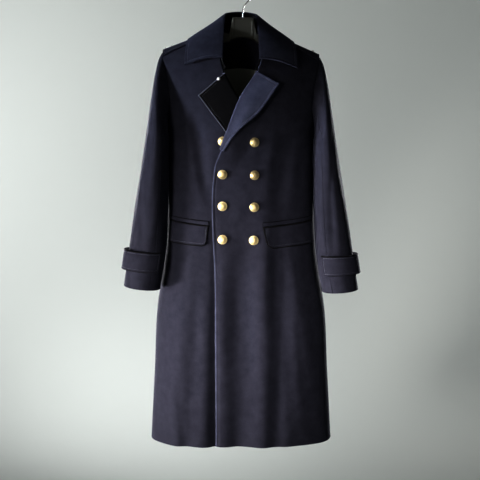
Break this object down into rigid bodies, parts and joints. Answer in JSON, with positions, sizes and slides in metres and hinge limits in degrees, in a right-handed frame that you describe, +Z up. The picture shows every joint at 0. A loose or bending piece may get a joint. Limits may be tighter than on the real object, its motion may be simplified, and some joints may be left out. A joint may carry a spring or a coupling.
{
  "type": "double-breasted greatcoat on a hanger",
  "caption": "Long double-breasted wool coat with a turned-down collar, notched lapels, domed metal buttons, flap pockets, cuff straps and epaulettes, hanging open-necked on a moulded hanger.",
  "frame": {"origin": "inside top of the hanger's hook, where a rail carries it", "axes": "+Z up, -Y out of the coat's front, +X to the wearer's left"},
  "size_m": [0.6434, 0.2134, 1.2337],
  "materials": {
    "navy_wool": "dense felted wool with a soft nap",
    "lining_satin": "dark olive satin lining",
    "gilt_metal": "polished gilt",
    "white_metal": "polished white metal",
    "hanger_plastic": "satin moulded plastic",
    "hook_steel": "bright drawn wire"
  },
  "bodies": {
    "root": {"back": "navy_wool", "front_left": "navy_wool", "front_right": "navy_wool", "sleeve_top_left": "navy_wool", "sleeve_top_right": "navy_wool", "sleeve_under_left": "navy_wool", "sleeve_under_right": "navy_wool", "cuff_strap_left": "navy_wool", "cuff_strap_right": "navy_wool", "epaulette_left": "navy_wool", "epaulette_right": "navy_wool", "lapel_left": "navy_wool", "lapel_right": "navy_wool", "collar_stand": "navy_wool", "collar_fall": "navy_wool", "back_lining": "lining_satin", "pocket_flap_left": "navy_wool", "pocket_flap_right": "navy_wool", "pocket_welt_left": "navy_wool", "pocket_welt_right": "navy_wool", "button_left_1": "gilt_metal", "button_left_2": "gilt_metal", "button_left_3": "gilt_metal", "button_left_4": "gilt_metal", "button_right_1": "gilt_metal", "button_right_2": "gilt_metal", "button_right_3": "gilt_metal", "button_right_4": "gilt_metal", "epaulette_stud_left_1": "white_metal", "epaulette_stud_right_1": "white_metal", "epaulette_stud_right_2": "white_metal", "lapel_stud": "white_metal", "hanger": "hanger_plastic", "hanger_hook": "hook_steel"}
  },
  "joints": []
}
